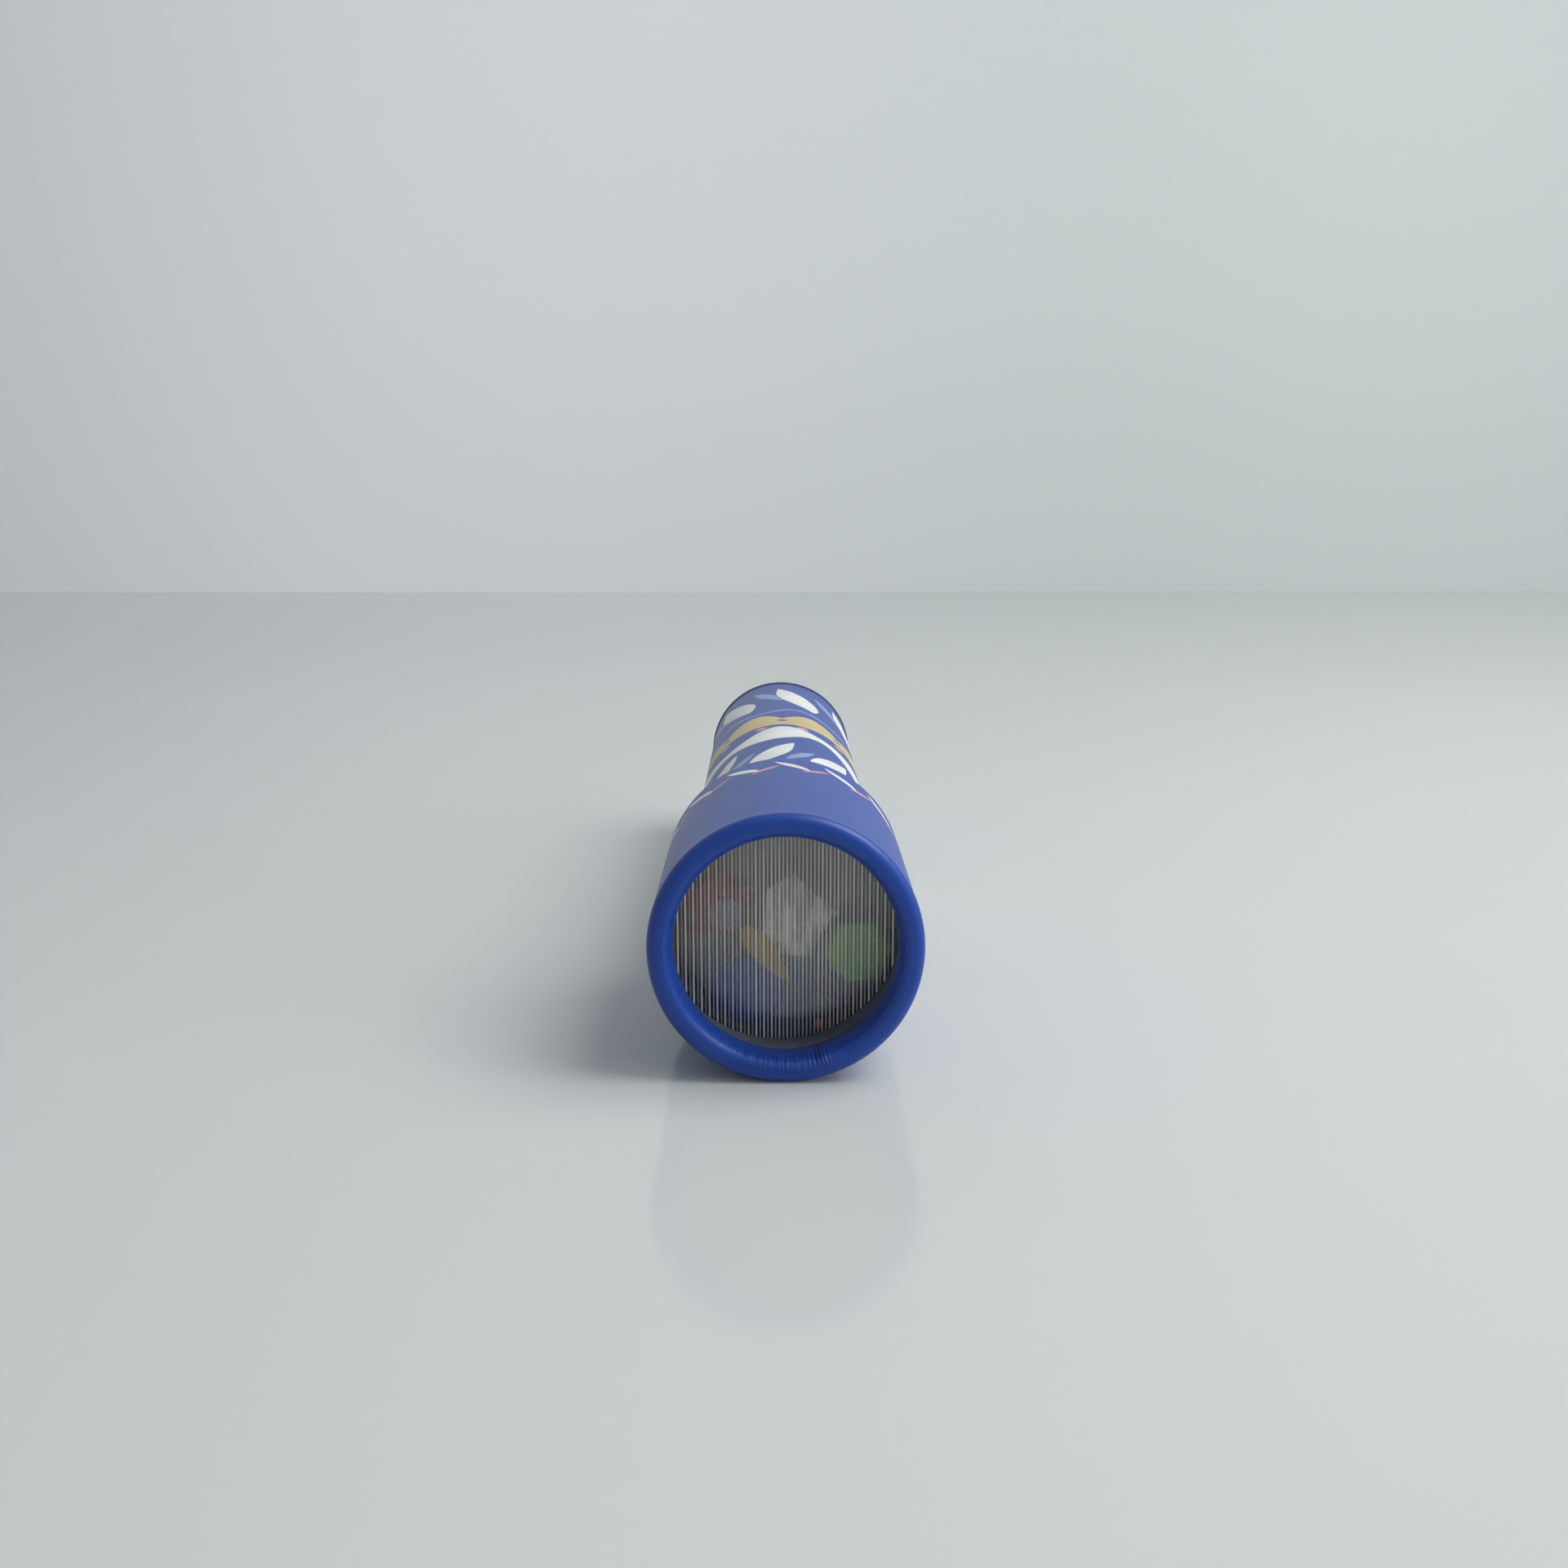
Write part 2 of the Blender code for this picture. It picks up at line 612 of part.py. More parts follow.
def main():
    clear_scene()
    surfaces = materials()
    tube_axis = axis_empty("tube_axis")
    barrel_axis = axis_empty("barrel_axis", tube_axis)
    build_tube(tube_axis, surfaces)
    build_barrel(barrel_axis, surfaces)
    chip_colours = {
        "chip_lilac_round": surfaces["lilac"],
        "chip_yellow_drop": surfaces["yellow"],
        "chip_red_star": surfaces["red"],
        "chip_clear_crystal": surfaces["clear"],
        "chip_green_hexagon": surfaces["green"],
        "chip_blue_round": surfaces["blue"],
        "chip_violet_triangle": surfaces["violet"],
        "bead_orange": surfaces["orange"],
        "bead_clear": surfaces["clear"],
    }
    chips(barrel_axis, chip_colours)


main()
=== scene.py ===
import functools
import math

import bmesh
import bpy
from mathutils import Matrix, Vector

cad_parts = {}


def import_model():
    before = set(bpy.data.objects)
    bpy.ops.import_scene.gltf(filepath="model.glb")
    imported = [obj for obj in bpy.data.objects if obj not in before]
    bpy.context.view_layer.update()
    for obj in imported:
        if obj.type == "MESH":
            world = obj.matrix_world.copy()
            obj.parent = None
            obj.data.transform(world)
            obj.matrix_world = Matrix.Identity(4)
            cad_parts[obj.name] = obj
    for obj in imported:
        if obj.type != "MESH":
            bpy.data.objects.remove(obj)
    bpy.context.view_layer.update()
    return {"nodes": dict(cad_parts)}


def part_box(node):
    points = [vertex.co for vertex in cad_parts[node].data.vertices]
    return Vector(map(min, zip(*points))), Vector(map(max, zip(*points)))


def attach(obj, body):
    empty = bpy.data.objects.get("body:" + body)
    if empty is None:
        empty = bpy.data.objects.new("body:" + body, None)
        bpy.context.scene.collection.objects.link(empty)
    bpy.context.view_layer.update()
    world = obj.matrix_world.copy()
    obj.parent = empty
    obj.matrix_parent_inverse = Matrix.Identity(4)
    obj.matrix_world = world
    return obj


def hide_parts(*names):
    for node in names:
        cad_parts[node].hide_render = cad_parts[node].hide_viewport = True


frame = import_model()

# Places read from the frame, in metres. A station is a distance back from the front of the bead.
barrel_low, barrel_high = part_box("barrel_tube")
wrap_low, wrap_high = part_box("body_wrap")
disc_low, disc_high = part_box("eyepiece_disc")
window_low, window_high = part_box("ribbed_window")
AXIS_HEIGHT = (barrel_low.z + barrel_high.z) / 2
FRONT = barrel_low.y
BEAD_RADIUS = (barrel_high.x - barrel_low.x) / 2
BARREL_LENGTH = barrel_high.y - barrel_low.y
WRAP_RADIUS = (wrap_high.x - wrap_low.x) / 2
WRAP_START = wrap_low.y - FRONT
WRAP_END = wrap_high.y - FRONT
DISC_RADIUS = (disc_high.x - disc_low.x) / 2
DISC_START = disc_low.y - FRONT
DISC_END = disc_high.y - FRONT
WINDOW_RADIUS = (window_high.x - window_low.x) / 2
WINDOW_CREST = window_low.y - FRONT
WINDOW_BACK = window_high.y - FRONT

# Barrel, as in the part's source
BARREL_WALL = 0.0015
BEAD_STAND = 0.0001
BARREL_RADIUS = BEAD_RADIUS - BEAD_STAND
BARREL_BORE = BARREL_RADIUS - BARREL_WALL
LIP_WIDTH = 0.0047
LIP_LAND_WIDTH = 0.0006
ROLL_OUTER_DEPTH = 0.0019
ROLL_INNER_DEPTH = 0.003
HEM_DEPTH = 0.0065
SHOULDER_LENGTH = 0.0016
EDGE_ROUND = 0.0003
PAPER = 0.00012

# Long tube's wrap and the eyepiece
WRAP_THICKNESS = 0.0003
PEEPHOLE_RADIUS = 0.0055
PEEPHOLE_CHAMFER = 0.0007

# Ribbed window
RIB_PITCH = 0.0015
RIB_CREST_WIDTH = 0.00045
RIB_FLANK_WIDTH = 0.0003
RIB_HEIGHT = 0.0004
RIB_COUNT = 29
FLANK_STEPS = 4
RIM_STEPS = 16
RIB_FIELD_RADIUS = 0.0235
# Where each zone of ribs ends across the window, and how clear its left and right flanks are. These clear
# shares are painted light: the flanks are hazier, and so brighter, towards the right, where the bead shades
# the window, and clearer, and so dimmer, on the left, where lamp light falls.
FLANK_PAINTED_LIGHT_ZONES = ((-0.006, 0.25, 0.45), (0.006, 0.18, 0.25), (0.03, 0.0, 0.0))

# How finely round pieces are divided
ROUND_STEPS = 288
ROLL_STEPS = 16
CORNER_STEPS = 4
FOLD_STEPS = 3
LENGTH_STEP = 0.003
WELD = 1e-7
SHARP_ANGLE = math.radians(40)


def srgb(red, green, blue):
    """A colour given as 0 to 255 levels, as linear shares for a shader."""
    levels = [level / 255 for level in (red, green, blue)]
    return tuple(v / 12.92 if v <= 0.04045 else ((v + 0.055) / 1.055) ** 2.4 for v in levels)


class Look:
    """A material's node tree, with short ways to add nodes to it."""

    def __init__(self, name):
        self.material = bpy.data.materials.new(name)
        self.material.use_nodes = True
        self.tree = self.material.node_tree
        self.shader = self.tree.nodes["Principled BSDF"]

    def put(self, socket, value):
        if isinstance(value, bpy.types.NodeSocket):
            self.tree.links.new(value, socket)
        elif isinstance(value, tuple) and len(value) == 3 and socket.type == "RGBA":
            socket.default_value = (*value, 1)
        else:
            socket.default_value = value

    def node(self, kind, settings=None, **inputs):
        made = self.tree.nodes.new(kind)
        for key, value in (settings or {}).items():
            setattr(made, key, value)
        for key, value in inputs.items():
            self.put(made.inputs[key.replace("_", " ")], value)
        return made

    def surface(self, **inputs):
        for key, value in inputs.items():
            self.put(self.shader.inputs[key.replace("_", " ")], value)

    def math(self, operation, *values):
        made = self.tree.nodes.new("ShaderNodeMath")
        made.operation = operation
        for socket, value in zip(made.inputs, values):
            self.put(socket, value)
        return made.outputs[0]

    def mix(self, share, first, second):
        made = self.tree.nodes.new("ShaderNodeMix")
        made.data_type = "RGBA"
        self.put(made.inputs["Factor"], share)
        self.put(made.inputs["A"], first)
        self.put(made.inputs["B"], second)
        return next(socket for socket in made.outputs if socket.type == "RGBA")

    def step(self, value, low, high, floor=0.0, top=1.0):
        """A smooth rise from floor to top as the value goes from low to high."""
        made = self.node(
            "ShaderNodeMapRange",
            {"interpolation_type": "SMOOTHSTEP"},
            Value=value,
            From_Min=low,
            From_Max=high,
            To_Min=floor,
            To_Max=top,
        )
        return made.outputs["Result"]

    def place(self):
        return self.node("ShaderNodeTexCoord").outputs["Object"]

    def noise(self, scale, detail=3.0, roughness=0.5, stretch=None):
        """Noise in object space, with features about 1 / scale metres wide."""
        vector = self.place()
        if stretch:
            vector = self.node("ShaderNodeMapping", Vector=vector, Scale=stretch).outputs["Vector"]
        made = self.node(
            "ShaderNodeTexNoise", Vector=vector, Scale=scale, Detail=detail, Roughness=roughness
        )
        return made.outputs["Fac"]

    def bump(self, height, distance):
        made = self.node("ShaderNodeBump", Height=height, Distance=distance, Strength=1.0)
        return made.outputs["Normal"]


def place_on_axis(name, mesh, body, surfaces, nodes, sharp_angle=SHARP_ANGLE):
    """Makes a piece of a mesh given round the axis, with y as its station, and rides it on a body."""
    mesh.shade_smooth()
    mesh.set_sharp_from_angle(angle=sharp_angle)
    for surface in surfaces:
        mesh.materials.append(surface.material)
    piece = bpy.data.objects.new(name, mesh)
    piece.location = (0, FRONT, AXIS_HEIGHT)
    bpy.context.scene.collection.objects.link(piece)
    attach(piece, body)
    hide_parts(*nodes)
    return piece


def arc(centre_radius, centre_station, radius, start, end, steps):
    """Points of an arc in a profile. 0 degrees points back along the axis and 90 points outwards."""
    angles = [math.radians(start + (end - start) * i / steps) for i in range(steps + 1)]
    return [(centre_radius + radius * math.sin(a), centre_station + radius * math.cos(a)) for a in angles]


def run(start, end):
    """Points along a straight stretch of a profile, without its end, near enough together to take relief."""
    length = math.dist(start, end)
    count = max(1, round(length / LENGTH_STEP))
    return [
        (start[0] + (end[0] - start[0]) * i / count, start[1] + (end[1] - start[1]) * i / count)
        for i in range(count)
    ]


def angles_round(seams=(), folds=()):
    """Angles round a piece, 0 at the top and a quarter turn at +X, closer at each seam and fold."""
    angles = [math.tau * i / ROUND_STEPS for i in range(ROUND_STEPS)]
    narrow = math.tau / ROUND_STEPS / 8
    for seam in seams:
        angles += [seam % math.tau, (seam + narrow) % math.tau]
    for middle, _, width in folds:
        reach = 2 * FOLD_STEPS
        angles += [(middle + width * i / FOLD_STEPS) % math.tau for i in range(-reach, reach)]
    return sorted(set(angles))


def turned(name, profile, angles, relief=None, bare=range(0)):
    """A closed profile of (radius, station) points, turned round the axis.

    Relief gives how far each point moves out and back. Stretches of the profile that start at a point
    in bare take the second material.
    """
    bm = bmesh.new()
    rings = []
    for angle in angles:
        ring = []
        for radius, station in profile:
            out, back = relief(angle, radius, station) if relief else (0, 0)
            grown = radius + out
            ring.append(bm.verts.new((grown * math.sin(angle), station + back, grown * math.cos(angle))))
        rings.append(ring)
    for i, ring in enumerate(rings):
        following = rings[(i + 1) % len(rings)]
        for j in range(len(profile)):
            k = (j + 1) % len(profile)
            face = bm.faces.new((ring[j], ring[k], following[k], following[j]))
            face.material_index = 1 if j in bare else 0
    bmesh.ops.recalc_face_normals(bm, faces=bm.faces)
    mesh = bpy.data.meshes.new(name)
    bm.to_mesh(mesh)
    bm.free()
    return mesh


# Barrel

BARREL_SEAM = math.radians(196)

# Creases that the paper has where it turns in over the roll: middle, depth and width
FOLDS = (
    (math.radians(161.8), 0.00008, math.radians(0.40)),
    (math.radians(163.2), 0.00042, math.radians(0.42)),
    (math.radians(165.1), 0.00044, math.radians(0.45)),
    (math.radians(166.8), 0.00007, math.radians(0.40)),
    (math.radians(174.0), 0.00004, math.radians(0.60)),
    (math.radians(181.0), 0.00006, math.radians(0.60)),
    (math.radians(185.0), 0.00005, math.radians(0.50)),
    (math.radians(189.5), 0.00008, math.radians(0.60)),
    (math.radians(195.0), 0.00006, math.radians(0.55)),
    (math.radians(201.0), 0.00006, math.radians(0.60)),
    (math.radians(208.5), 0.00003, math.radians(0.70)),
    (math.radians(214.0), 0.00003, math.radians(0.60)),
)
FOLD_REACH = 0.0062


def overlap(angle, seam, width):
    """The extra height of a paper's overlap: a sharp edge at the seam, and a slow fall behind it."""
    behind = (angle - seam) % math.tau
    if behind > width:
        return 0
    return PAPER * (1 - behind / width) ** 2


def barrel_relief(angle, radius, station):
    """Folds on the roll's inner side and the hem, and the overlap of the paper along the barrel."""
    inner_side = radius < BEAD_RADIUS - LIP_WIDTH / 2 and station < HEM_DEPTH
    if inner_side:
        rise = math.sin(math.pi * min(1, station / FOLD_REACH) ** 0.52)
        share = min(1, station / ROLL_INNER_DEPTH)
        depth = 0
        for middle, height, width in FOLDS:
            away = (angle - middle) / width
            depth += height * math.exp(-away * away)
        return depth * rise * math.sqrt(share), depth * rise * (1 - share)
    if radius < BARREL_RADIUS - PAPER:
        return 0, 0
    fade = min(1, max(0, station - ROLL_OUTER_DEPTH) / SHOULDER_LENGTH)
    return overlap(angle, BARREL_SEAM, math.radians(30)) * fade, 0


def roll(centre, across, depth, start, end):
    """A quarter of an ellipse in a profile, whose centre has this radius and lies its own depth back."""
    angles = [math.radians(start + (end - start) * i / ROLL_STEPS) for i in range(ROLL_STEPS + 1)]
    return [(centre + across * math.sin(a), depth + depth * math.cos(a)) for a in angles]


def barrel_shell(paper, board):
    """The card barrel. Its front edge is rolled into a bead and runs back inside as a hem, open behind."""
    middle = BEAD_RADIUS - LIP_WIDTH / 2
    half_land = LIP_LAND_WIDTH / 2
    across = LIP_WIDTH / 2 - half_land
    opening = BEAD_RADIUS - LIP_WIDTH
    shoulder = ROLL_OUTER_DEPTH + SHOULDER_LENGTH
    profile = arc(BARREL_RADIUS - EDGE_ROUND, BARREL_LENGTH - EDGE_ROUND, EDGE_ROUND, 0, 90, CORNER_STEPS)
    profile += run((BARREL_RADIUS, BARREL_LENGTH - 2 * EDGE_ROUND), (BARREL_RADIUS, shoulder))
    for i in range(CORNER_STEPS):
        share = i / CORNER_STEPS
        swell = (1 - math.cos(math.pi * share)) / 2
        profile.append((BARREL_RADIUS + BEAD_STAND * swell, shoulder - SHOULDER_LENGTH * share))
    profile += roll(middle + half_land, across, ROLL_OUTER_DEPTH, 90, 180)
    profile += roll(middle - half_land, across, ROLL_INNER_DEPTH, 180, 270)
    profile += run((opening, ROLL_INNER_DEPTH + EDGE_ROUND), (opening, HEM_DEPTH - EDGE_ROUND))
    profile += arc(opening + EDGE_ROUND, HEM_DEPTH - EDGE_ROUND, EDGE_ROUND, 270, 360, CORNER_STEPS)
    bare_start = len(profile) - 1
    profile += [(opening + BARREL_WALL, HEM_DEPTH), (opening + BARREL_WALL, ROLL_INNER_DEPTH)]
    profile += [(middle, BARREL_WALL), (BARREL_BORE, ROLL_OUTER_DEPTH)]
    profile += [(BARREL_BORE, shoulder), (BARREL_BORE, BARREL_LENGTH)]
    bare = range(bare_start, len(profile))
    mesh = turned("barrel_shell", profile, angles_round([BARREL_SEAM], FOLDS), barrel_relief, bare)
    return place_on_axis("barrel_shell", mesh, "barrel", [paper, board], ["barrel_tube"])


# Long tube

WRAP_SEAM = math.radians(201)


def tube_wrap(paper, board):
    """The printed paper round the long tube, with its overlap along the underside."""
    inner = WRAP_RADIUS - WRAP_THICKNESS
    outer = WRAP_RADIUS - PAPER
    profile = run((outer, WRAP_END), (outer, WRAP_START)) + [(outer, WRAP_START)]
    bare_start = len(profile) - 1
    profile += [(inner, WRAP_START), (inner, WRAP_END)]

    def relief(angle, radius, station):
        return overlap(angle, WRAP_SEAM, math.radians(34)) if radius > inner else 0, 0

    bare = range(bare_start, len(profile))
    mesh = turned("tube_wrap", profile, angles_round([WRAP_SEAM]), relief, bare)
    return place_on_axis("tube_wrap", mesh, "tube", [paper, board], ["body_wrap"])


def eye_plate(paper, board):
    """The card disc with the peephole, its paper turned over the rounded edge."""
    round_edge = EDGE_ROUND
    profile = arc(DISC_RADIUS - round_edge, DISC_END - round_edge, round_edge, 0, 90, CORNER_STEPS)
    bare = [len(profile)]
    profile += [(DISC_RADIUS, DISC_START), (PEEPHOLE_RADIUS, DISC_START)]
    profile += [(PEEPHOLE_RADIUS, DISC_END - PEEPHOLE_CHAMFER)]
    turn = PEEPHOLE_CHAMFER
    profile += arc(PEEPHOLE_RADIUS + turn, DISC_END - turn, turn, 270, 360, 2 * CORNER_STEPS)
    span = DISC_RADIUS - round_edge - PEEPHOLE_RADIUS - turn
    profile += [(PEEPHOLE_RADIUS + turn + span * i / 8, DISC_END) for i in range(1, 8)]
    mesh = turned("eye_plate", profile, angles_round(), None, bare)
    return place_on_axis("eye_plate", mesh, "tube", [paper, board], ["eyepiece_disc"])


# Ribbed window

SEAT_WALL = 0.0015
SEAT_REAR_BORE = 0.0224
# How far the bore lies off the axis, across and up, how far it is oval, and which way it is widest
SEAT_OFFSET = (-0.0006, 0.0007)
SEAT_OVAL = 0.00035
SEAT_OVAL_TURN = math.radians(250)
# How far the ring's back stands in front of the solid's, so that the ribs run on behind it
SEAT_CLEARANCE = 0.0002
# Share of the front edge's rounding over which the bore is still round
SEAT_ROUND_SHARE = 0.8


def window_seat(surface):
    """The grey card ring in front of the window. Its bore is oval and a little off centre."""
    low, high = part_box("window_ring")
    front, back = low.y - FRONT, high.y - FRONT - SEAT_CLEARANCE
    outer = (high.x - low.x) / 2
    edge = EDGE_ROUND
    profile = arc(outer - edge, back - edge, edge, 0, 90, CORNER_STEPS)
    profile += arc(outer - edge, front + edge, edge, 90, 180, CORNER_STEPS)
    profile += arc(outer - SEAT_WALL + edge, front + edge, edge, 180, 270, CORNER_STEPS)
    profile += [(SEAT_REAR_BORE, back - edge), (SEAT_REAR_BORE + edge, back)]

    def relief(angle, radius, station):
        if radius > SEAT_REAR_BORE + edge or station < front + SEAT_ROUND_SHARE * edge:
            return 0, 0
        oval = SEAT_OVAL * math.cos(2 * (angle - SEAT_OVAL_TURN))
        return oval + SEAT_OFFSET[0] * math.sin(angle) + SEAT_OFFSET[1] * math.cos(angle), 0

    mesh = turned("window_seat", profile, angles_round(), relief)
    return place_on_axis("window_seat", mesh, "barrel", [surface], ["window_ring"])


def rib_columns():
    """Places across the ribs: (across, station of the front, material of the strip that follows).

    Material 0 is the plain plastic. Each zone has two more, for its left flanks and its right flanks, which
    differ from zone to zone as painted light.
    """
    flat = WINDOW_CREST + RIB_HEIGHT
    valley = RIB_PITCH - RIB_CREST_WIDTH - 2 * RIB_FLANK_WIDTH
    columns = []
    for i in range(RIB_COUNT):
        start = (i - RIB_COUNT / 2) * RIB_PITCH + valley / 2
        for side in (0, 1):
            for step in range(FLANK_STEPS + 1):
                share = step / FLANK_STEPS
                height = (1 - math.cos(math.pi * share)) / 2
                height = 1 - height if side else height
                across = start + side * (RIB_FLANK_WIDTH + RIB_CREST_WIDTH) + share * RIB_FLANK_WIDTH
                zone = next(k for k, item in enumerate(FLANK_PAINTED_LIGHT_ZONES) if across < item[0])
                surface = 0 if step == FLANK_STEPS else 1 + 2 * zone + side
                columns.append((across, flat - RIB_HEIGHT * height, surface))
    return columns


def ribbed_sheet(surfaces):
    """A clear sheet with upright ribs in front and a flat rim round them."""
    flat = WINDOW_CREST + RIB_HEIGHT
    columns = rib_columns()
    spans = len(columns) - 1
    bm = bmesh.new()
    upper, lower = [], []
    for across, front, _ in columns:
        reach = math.sqrt(RIB_FIELD_RADIUS**2 - across**2)
        for side, made in ((reach, upper), (-reach, lower)):
            angle = math.atan2(across, side)
            rim = (WINDOW_RADIUS * math.sin(angle), WINDOW_RADIUS * math.cos(angle))
            places = ((across, front, side), (across, flat, side), (rim[0], flat, rim[1]))
            made.append([bm.verts.new(place) for place in (*places, (rim[0], WINDOW_BACK, rim[1]))])
    for i in range(spans):
        face = bm.faces.new((upper[i][0], upper[i + 1][0], lower[i + 1][0], lower[i][0]))
        face.material_index = columns[i][2]
        for line in (upper, lower):
            for level in range(3):
                near, far = line[i], line[i + 1]
                bm.faces.new((near[level], far[level], far[level + 1], near[level + 1]))
    arcs = []
    for end in (0, spans):
        first, last = upper[end], lower[end]
        start = math.atan2(first[2].co.x, first[2].co.z)
        finish = math.atan2(last[2].co.x, last[2].co.z)
        rows = [first[2:]]
        for i in range(1, RIM_STEPS):
            angle = start + (finish - start) * i / RIM_STEPS
            corner = (WINDOW_RADIUS * math.sin(angle), WINDOW_RADIUS * math.cos(angle))
            rows.append([bm.verts.new((corner[0], y, corner[1])) for y in (flat, WINDOW_BACK)])
        rows.append(last[2:])
        bm.faces.new([first[1]] + [row[0] for row in rows] + [last[1]])
        for near, far in zip(rows, rows[1:]):
            bm.faces.new((near[0], far[0], far[1], near[1]))
        arcs.append([row[1] for row in rows])
    back = [item[3] for item in upper] + arcs[1][1:-1] + [item[3] for item in reversed(lower)]
    bm.faces.new(back + arcs[0][-2:0:-1])
    bmesh.ops.remove_doubles(bm, verts=bm.verts, dist=WELD)
    bmesh.ops.recalc_face_normals(bm, faces=bm.faces)
    mesh = bpy.data.meshes.new("ribbed_sheet")
    bm.to_mesh(mesh)
    bm.free()
    return place_on_axis("ribbed_sheet", mesh, "barrel", surfaces, ["ribbed_window"])


# Loose crystal

# Outline as in the part's source. Depths are shares of the crystal's own, back from its front.
CRYSTAL_OUTLINE_SHARES = (1.0, 0.72, 0.94, 0.66, 0.88, 0.78, 1.0, 0.60, 0.84)
CRYSTAL_GIRDLE_SHARES = (0.45, 0.70, 0.40, 0.62, 0.50, 0.72, 0.42, 0.66, 0.55)
CRYSTAL_CROWN_SHARES = (0.0, 0.30, 0.05, 0.38, 0.0, 0.26, 0.10, 0.32, 0.04)
CRYSTAL_CROWN_RADIUS_SHARE = 0.52
CRYSTAL_TABLE_SHARES = (0.22, 0.0, 0.28)
CRYSTAL_TABLE_RADIUS_SHARE = 0.2


def cut_crystal(surface):
    """The clear crystal, cut with many small facets, which catch the light one by one."""
    low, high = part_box("chip_clear_crystal")
    count = len(CRYSTAL_OUTLINE_SHARES)
    angles = [math.tau * i / count for i in range(count)]
    corners = [(s * math.sin(a), s * math.cos(a)) for s, a in zip(CRYSTAL_OUTLINE_SHARES, angles)]
    top = max(up for _, up in corners)
    size = (high.z - low.z) / (top - min(up for _, up in corners))
    middle = (high.x - size * max(across for across, _ in corners), high.z - AXIS_HEIGHT - size * top)
    depth = high.y - low.y
    bm = bmesh.new()

    def corner(across, up, share):
        place = (middle[0] + size * across, low.y - FRONT + depth * share, middle[1] + size * up)
        return bm.verts.new(place)

    def ring(radius_share, shares):
        steps = len(shares)
        turns = [math.tau * (i + 0.5) / steps for i in range(steps)]
        places = [(radius_share * math.sin(a), radius_share * math.cos(a)) for a in turns]
        return [corner(*place, share) for place, share in zip(places, shares)]

    girdle = [corner(*place, share) for place, share in zip(corners, CRYSTAL_GIRDLE_SHARES)]
    back = [corner(*place, 1.0) for place in corners]
    crown = ring(CRYSTAL_CROWN_RADIUS_SHARE, CRYSTAL_CROWN_SHARES)
    table = ring(CRYSTAL_TABLE_RADIUS_SHARE, CRYSTAL_TABLE_SHARES)
    for i in range(count):
        k = (i + 1) % count
        bm.faces.new((girdle[i], girdle[k], back[k], back[i]))
        bm.faces.new((girdle[i], girdle[k], crown[i]))
        bm.faces.new((crown[i], girdle[k], crown[k]))
        near = table[i * len(table) // count]
        far = table[k * len(table) // count]
        bm.faces.new((crown[i], crown[k], near))
        if near != far:
            bm.faces.new((near, crown[k], far))
    bm.faces.new(table)
    bm.faces.new(back)
    bmesh.ops.recalc_face_normals(bm, faces=bm.faces)
    mesh = bpy.data.meshes.new("cut_crystal")
    bm.to_mesh(mesh)
    bm.free()
    nodes = ["chip_clear_crystal"]
    return place_on_axis("cut_crystal", mesh, "clear_crystal", [surface], nodes, 0)


# Materials

INK_BLUE = srgb(8, 61, 150)
INK_DEEP = srgb(8, 48, 127)
INK_WORN = srgb(88, 110, 178)
GOLD = srgb(206, 184, 122)
WHITE = srgb(232, 235, 230)
PALE_BLUE = srgb(122, 152, 198)
PINK = srgb(222, 150, 156)
EDGE_BLUR = 0.00008
PAPER_IOR = 1.36
COAT_WEIGHT = 0.45
COAT_ROUGHNESS = 0.33
PLEAT_SCALE = 360.0
PLEAT_STRENGTH = 11.0
CLEAR_IOR = 1.49
TINTED_IOR = 1.5
FLANK_COLOUR = (0.99, 0.985, 0.92)
# Painted shade for each zone of ribs: the colour its flanks fade to low down, darkest and bluest in the left
# zone
FLANK_PAINTED_SHADE_COLOURS = ((0.74, 0.82, 1.0), (0.82, 0.87, 0.98), (0.97, 0.98, 0.97))
# Loose pieces in the solids' own shapes: node, colour and clear share
CHIPS = (
    ("chip_lilac_round", srgb(196, 184, 216), 0.3),
    ("chip_yellow_drop", srgb(180, 146, 10), 0.2),
    ("chip_red_star", srgb(188, 70, 72), 0.3),
    ("chip_green_hexagon", srgb(150, 232, 84), 0.2),
    ("chip_blue_round", srgb(30, 54, 158), 0.3),
    ("chip_violet_triangle", srgb(68, 60, 116), 0.3),
    ("bead_orange", srgb(246, 130, 30), 0.2),
    ("bead_clear", srgb(236, 242, 238), 0.3),
)


def paper_finish(look, colour, pleats=None):
    """Varnished paper: fine fibre grain and faint mottling under a thin coat that follows the same relief."""
    grain = look.noise(scale=2600, detail=4, roughness=0.6)
    mottle = look.noise(scale=90, detail=3, roughness=0.55)
    shade = look.math("MULTIPLY", look.step(mottle, 0.3, 0.7), 0.14)
    rough = look.math("ADD", look.math("MULTIPLY", mottle, 0.12), 0.44)
    height = look.math("ADD", look.math("MULTIPLY", grain, 0.35), look.math("MULTIPLY", mottle, 0.65))
    if pleats is not None:
        height = look.math("ADD", height, pleats)
    relief = look.bump(height, distance=0.00004)
    look.surface(
        Base_Color=look.mix(shade, colour, INK_DEEP), Roughness=rough, Normal=relief, Coat_Normal=relief
    )
    look.shader.inputs["IOR"].default_value = PAPER_IOR
    look.shader.inputs["Coat Weight"].default_value = COAT_WEIGHT
    look.shader.inputs["Coat Roughness"].default_value = COAT_ROUGHNESS


def rubbed(look, colour, worn, place, reach):
    """Ink rubbed through near an edge: worn in spots where place, in metres from the edge, is small."""
    near = look.step(place, reach, 0.0)
    spots = look.step(look.noise(scale=420, detail=4, roughness=0.65), 0.42, 0.62)
    return look.mix(look.math("MULTIPLY", near, spots), colour, worn)


